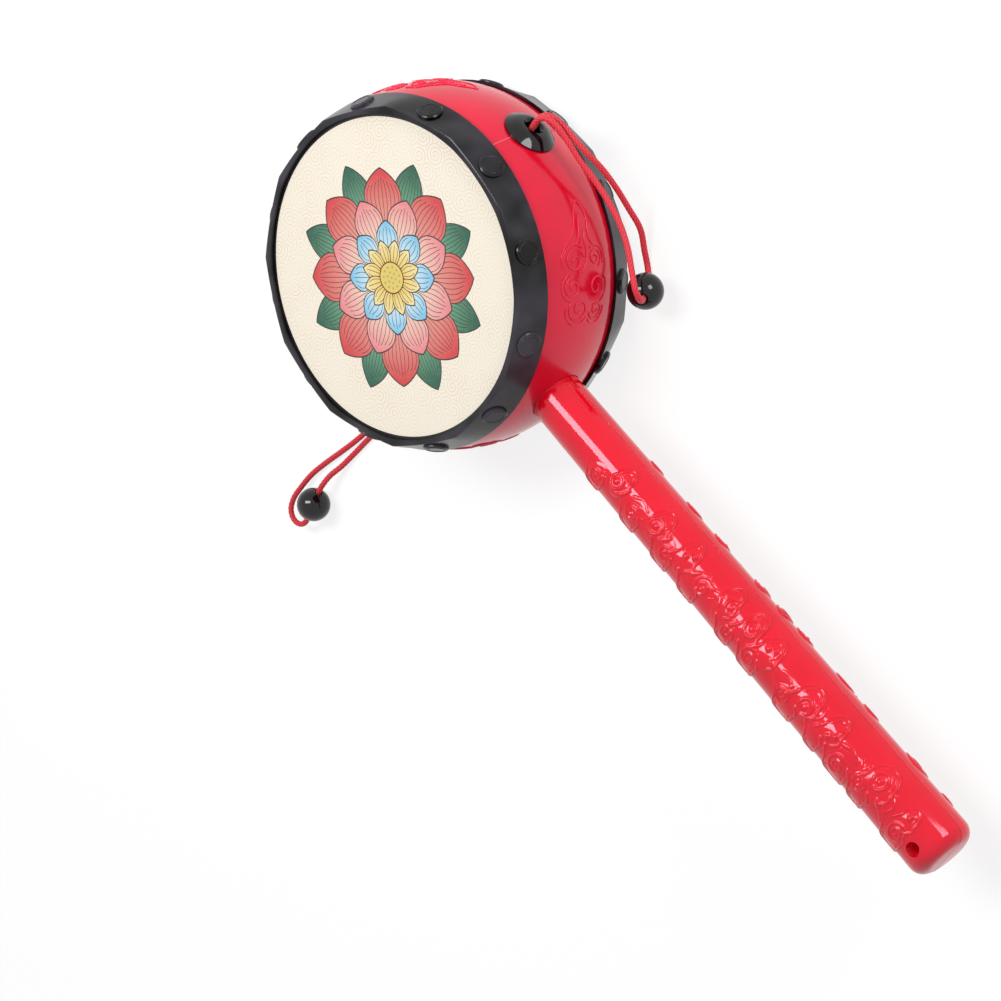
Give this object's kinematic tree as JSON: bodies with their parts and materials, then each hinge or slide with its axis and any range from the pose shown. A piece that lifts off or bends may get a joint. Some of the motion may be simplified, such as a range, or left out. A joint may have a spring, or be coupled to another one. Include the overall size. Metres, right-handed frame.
{
  "type": "rattle drum",
  "caption": "Handheld rattle drum: a hollow red barrel with black rims and cream heads on a tapered handle, with looped cords whose beads strike the heads when it is twirled.",
  "frame": {"origin": "middle of the toy without its free cords, on the floor it lies on", "axes": "+Z along the drum's axis, out of the front head; -Y along the handle, away from the drum; +X towards the right grommet"},
  "size_m": [0.2096, 0.308, 0.0532],
  "materials": {
    "shell_red": "glossy moulded red",
    "handle_red": "glossy moulded bright red",
    "rim_black": "satin black",
    "gloss_black": "polished black",
    "head_cream": "printed cream film",
    "cord_red": "braided red cord"
  },
  "bodies": {
    "drum": {"shell_crown_half": "shell_red", "shell_handle_half": "shell_red", "front_rim": "rim_black", "back_rim": "rim_black", "front_head": "head_cream", "back_head": "head_cream", "handle_front_half": "handle_red", "handle_back_half": "handle_red", "left_grommet": "gloss_black", "right_grommet": "gloss_black", "left_cord_knot": "cord_red", "right_cord_knot": "cord_red"},
    "left_cord": {"left_cord": "cord_red"},
    "left_bead": {"left_bead": "gloss_black"},
    "right_cord": {"right_cord": "cord_red"},
    "right_bead": {"right_bead": "gloss_black"}
  },
  "joints": [
    {"name": "left_cord_swing", "type": "hinge", "parent": "drum", "child": "left_cord", "pos_m": [-0.06335, 0.09495, 0.0266], "axis": [0, 1, 0], "range_deg": [0, 100]},
    {"name": "left_bead_spin", "type": "hinge", "parent": "left_cord", "child": "left_bead", "pos_m": [-0.128, 0.09895, 0.006], "axis": [-0.9854, -0.1701, 0], "continuous": true},
    {"name": "right_cord_swing", "type": "hinge", "parent": "drum", "child": "right_cord", "pos_m": [0.06335, 0.09495, 0.0266], "axis": [0, -0.3576, 0.9339], "range_deg": [0, 100]},
    {"name": "right_bead_spin", "type": "hinge", "parent": "right_cord", "child": "right_bead", "pos_m": [0.0399, 0.03975, 0.0093], "axis": [0.1403, -0.5212, 0.8419], "continuous": true}
  ]
}
